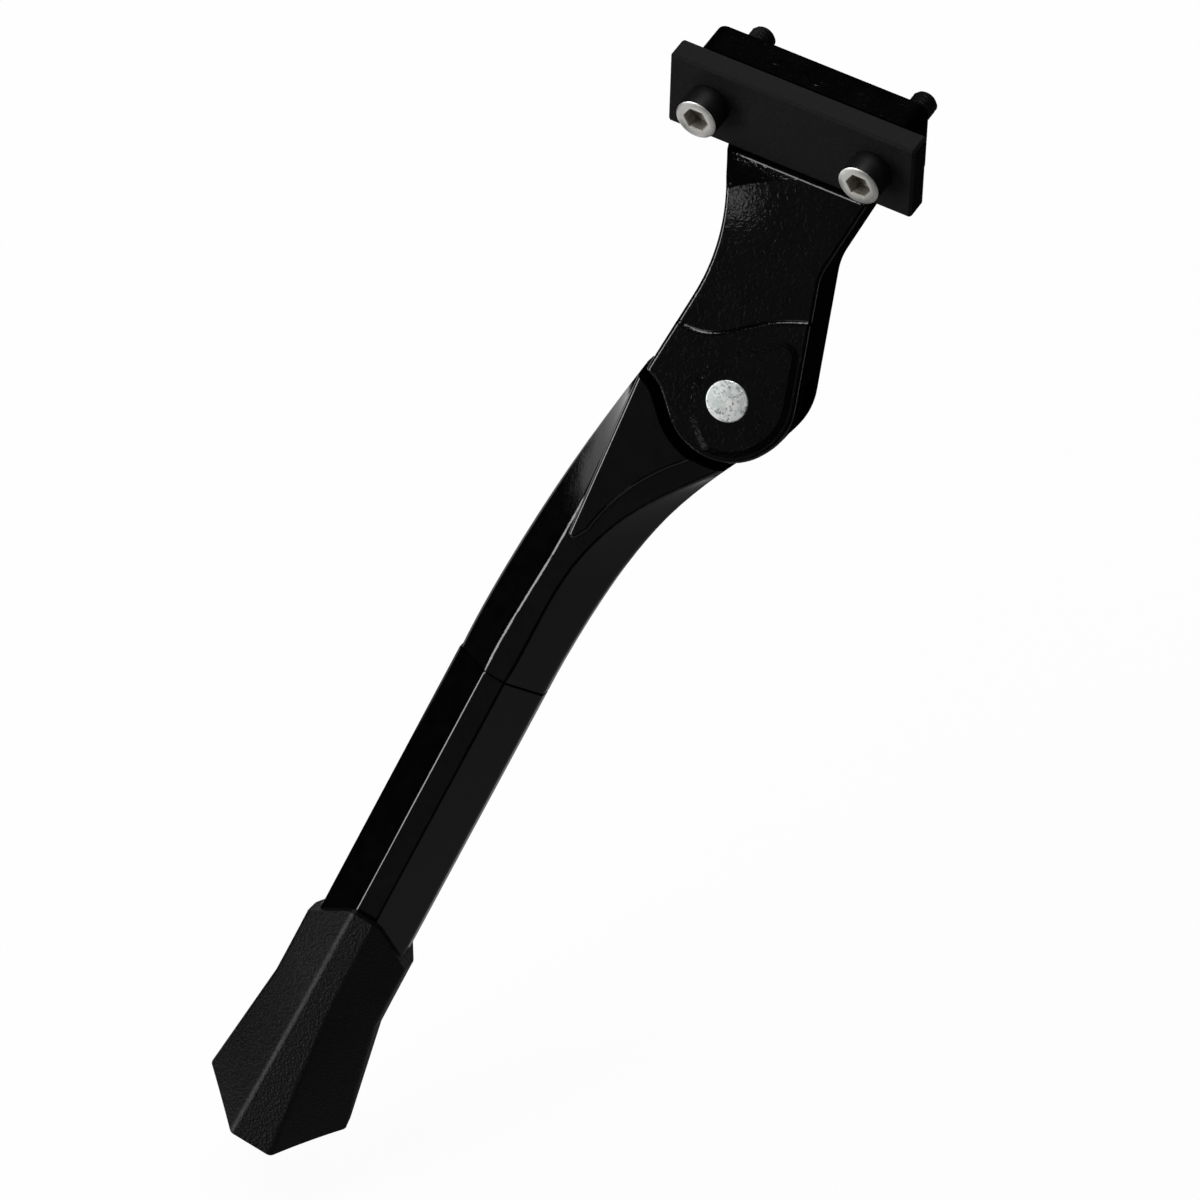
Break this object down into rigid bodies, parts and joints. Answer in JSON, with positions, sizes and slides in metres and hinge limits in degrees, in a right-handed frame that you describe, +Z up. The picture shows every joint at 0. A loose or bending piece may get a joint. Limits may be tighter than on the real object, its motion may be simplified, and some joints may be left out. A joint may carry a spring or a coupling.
{
  "type": "bicycle kickstand",
  "caption": "Folding rear-mount bicycle kickstand: cast head under a screwed plate, riveted pivot, bent bevelled leg that adjusts in length, and a rubber foot.",
  "frame": {"origin": "midway between the two mounting screws, on the back face of the head's flange, where it meets the bicycle frame", "axes": "+X along the screws towards the rear of the bicycle, +Y inward along the screws' shanks, +Z up"},
  "size_m": [0.1025, 0.1637, 0.243],
  "materials": {
    "black_paint": "gloss",
    "black_plate": "satin",
    "screw_steel": "satin",
    "zinc_steel": "satin",
    "hard_steel": "satin",
    "black_steel": "satin",
    "bush_brass": "satin",
    "washer_plastic": "matte",
    "foot_rubber": "matte"
  },
  "bodies": {
    "head": {"head_casting": "black_paint", "mounting_plate": "black_plate", "mounting_screw_front": "screw_steel", "mounting_screw_rear": "screw_steel", "pivot_pin": "zinc_steel", "detent_spring": "hard_steel"},
    "leg": {"upper_leg": "black_paint", "pivot_bush": "bush_brass", "thrust_washer_outer": "washer_plastic", "thrust_washer_inner": "washer_plastic", "length_screw": "black_steel", "length_washer": "zinc_steel"},
    "extension": {"lower_leg": "black_paint", "foot": "foot_rubber"},
    "detent": {"detent_plunger": "hard_steel"}
  },
  "joints": [
    {"name": "leg_fold", "type": "hinge", "parent": "head", "child": "leg", "pos_m": [0.00049, -0.03374, -0.06048], "axis": [0.1602, -0.8641, 0.4772], "range_deg": [0, 95]},
    {"name": "leg_extension", "type": "slide", "parent": "leg", "child": "extension", "axis": [-0.2009, -0.5018, -0.8413], "range_m": [0, 0.03]},
    {"name": "detent_travel", "type": "slide", "parent": "head", "child": "detent", "axis": [0.087, -0.4692, -0.8788], "range_m": [0, 0.0012], "stiffness_N_per_m": 1500, "springref_m": 0.004}
  ]
}
